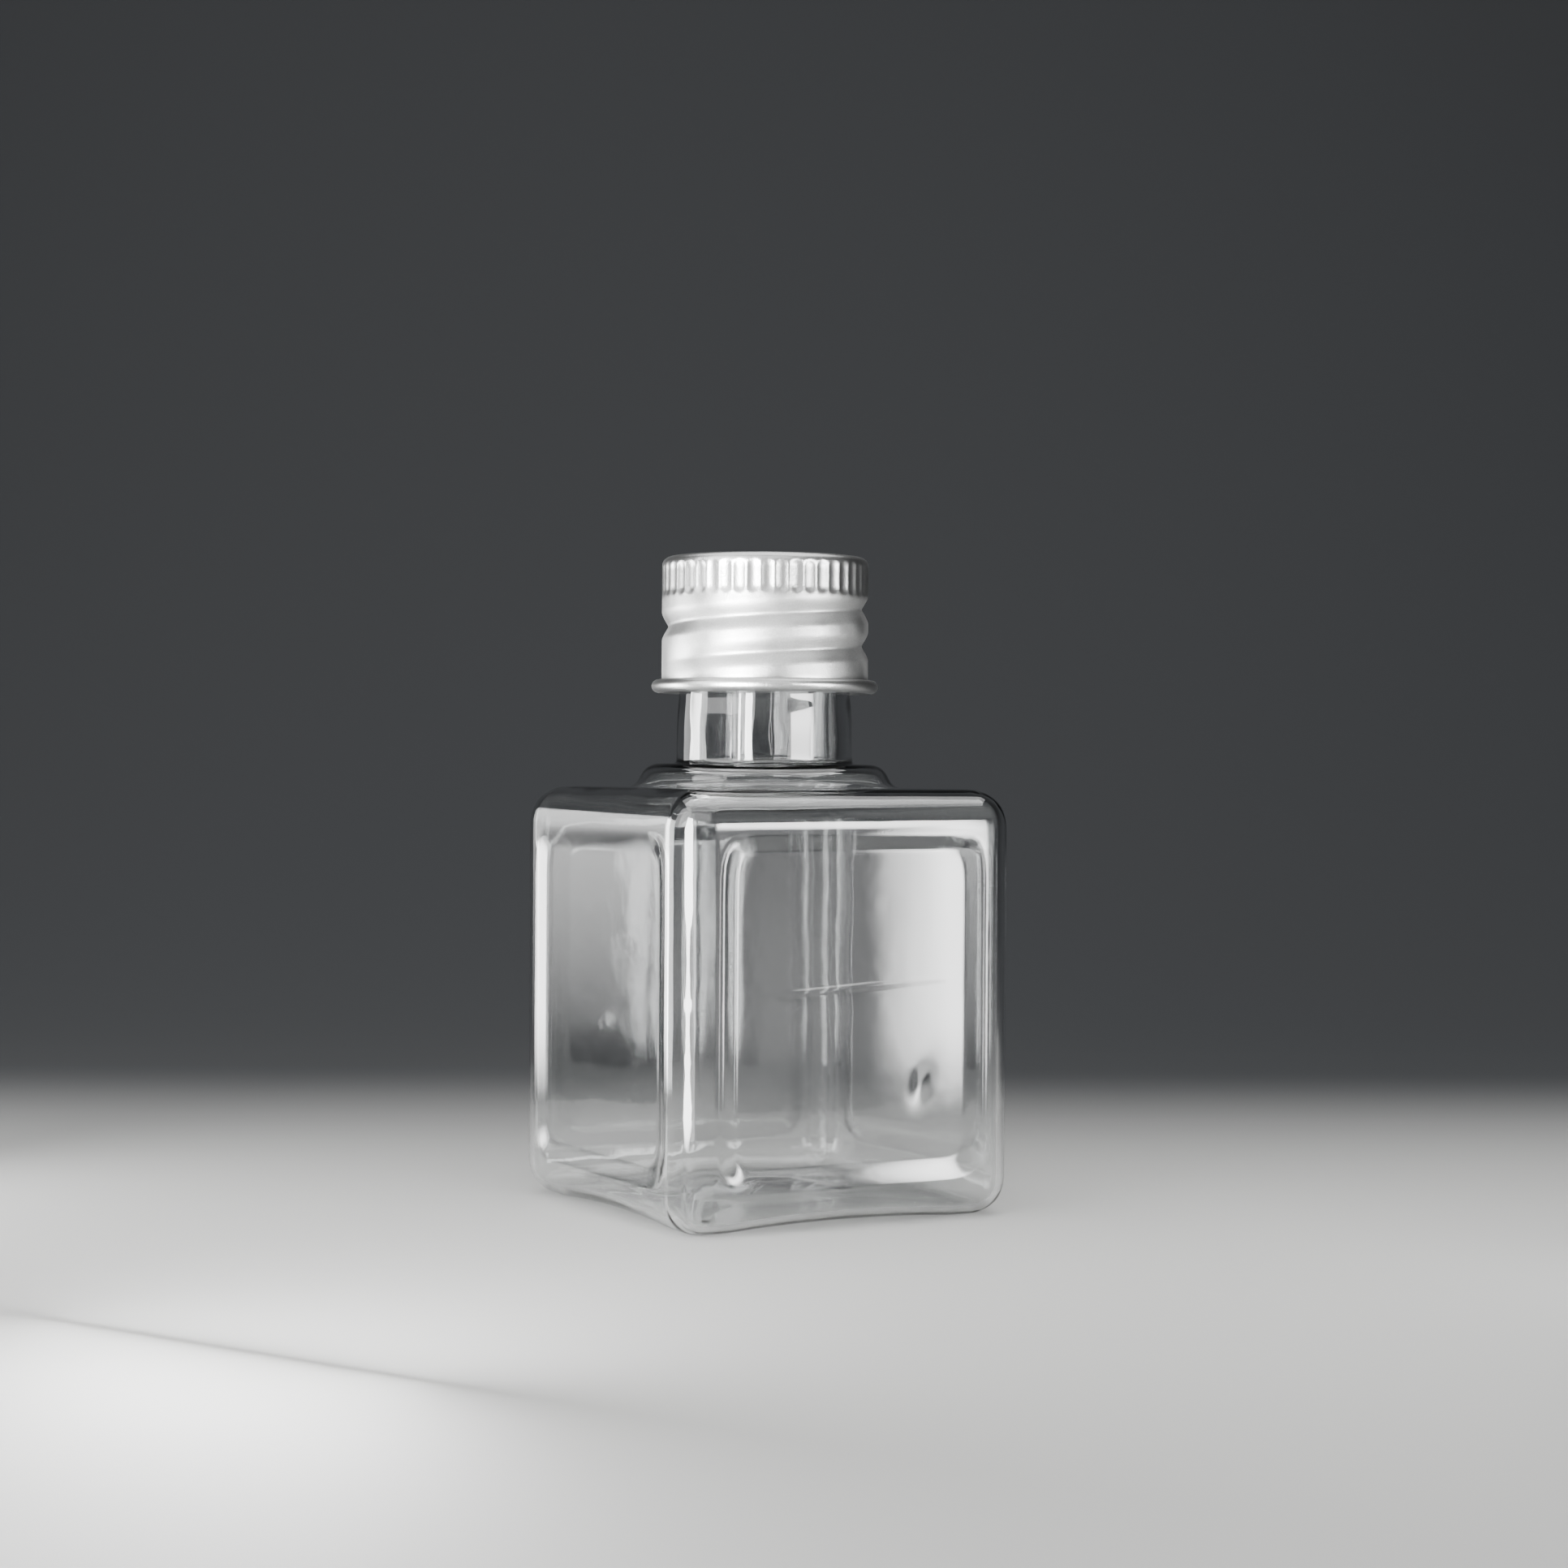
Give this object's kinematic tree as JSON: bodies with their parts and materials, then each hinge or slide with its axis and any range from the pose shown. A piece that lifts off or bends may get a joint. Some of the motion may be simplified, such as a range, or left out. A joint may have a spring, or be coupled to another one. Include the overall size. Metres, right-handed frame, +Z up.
{
  "type": "screw cap bottle",
  "caption": "Small square bottle of clear blown plastic with a round shoulder boss, a straight neck and a fluted aluminium screw cap that presses a liner on the rim.",
  "frame": {"origin": "middle of the base, on the surface that the four corner feet stand on", "axes": "+Z up along the neck and cap axis; the flat sides face +X, -X, +Y and -Y"},
  "size_m": [0.0368, 0.0368, 0.0642],
  "materials": {
    "clear_pet": "clear, glossy, blown",
    "cap_aluminium": "satin skirt and bright flutes",
    "liner_foam": "matt closed-cell foam"
  },
  "bodies": {
    "bottle": {"bottle": "clear_pet"},
    "liner": {"cap_liner": "liner_foam"},
    "cap": {"cap_shell": "cap_aluminium"}
  },
  "joints": [
    {"name": "cap_lift", "type": "slide", "parent": "bottle", "child": "liner", "axis": [0, 0, 1], "range_m": [0, 0.01275]},
    {"name": "cap_turn", "type": "hinge", "parent": "liner", "child": "cap", "pos_m": [0, 0, 0.0629], "axis": [0, 0, 1], "range_deg": [0, 1260]}
  ],
  "couplings": [
    {"joint": "cap_lift", "follows": "cap_turn", "m_per_rad": 0.00057932}
  ]
}
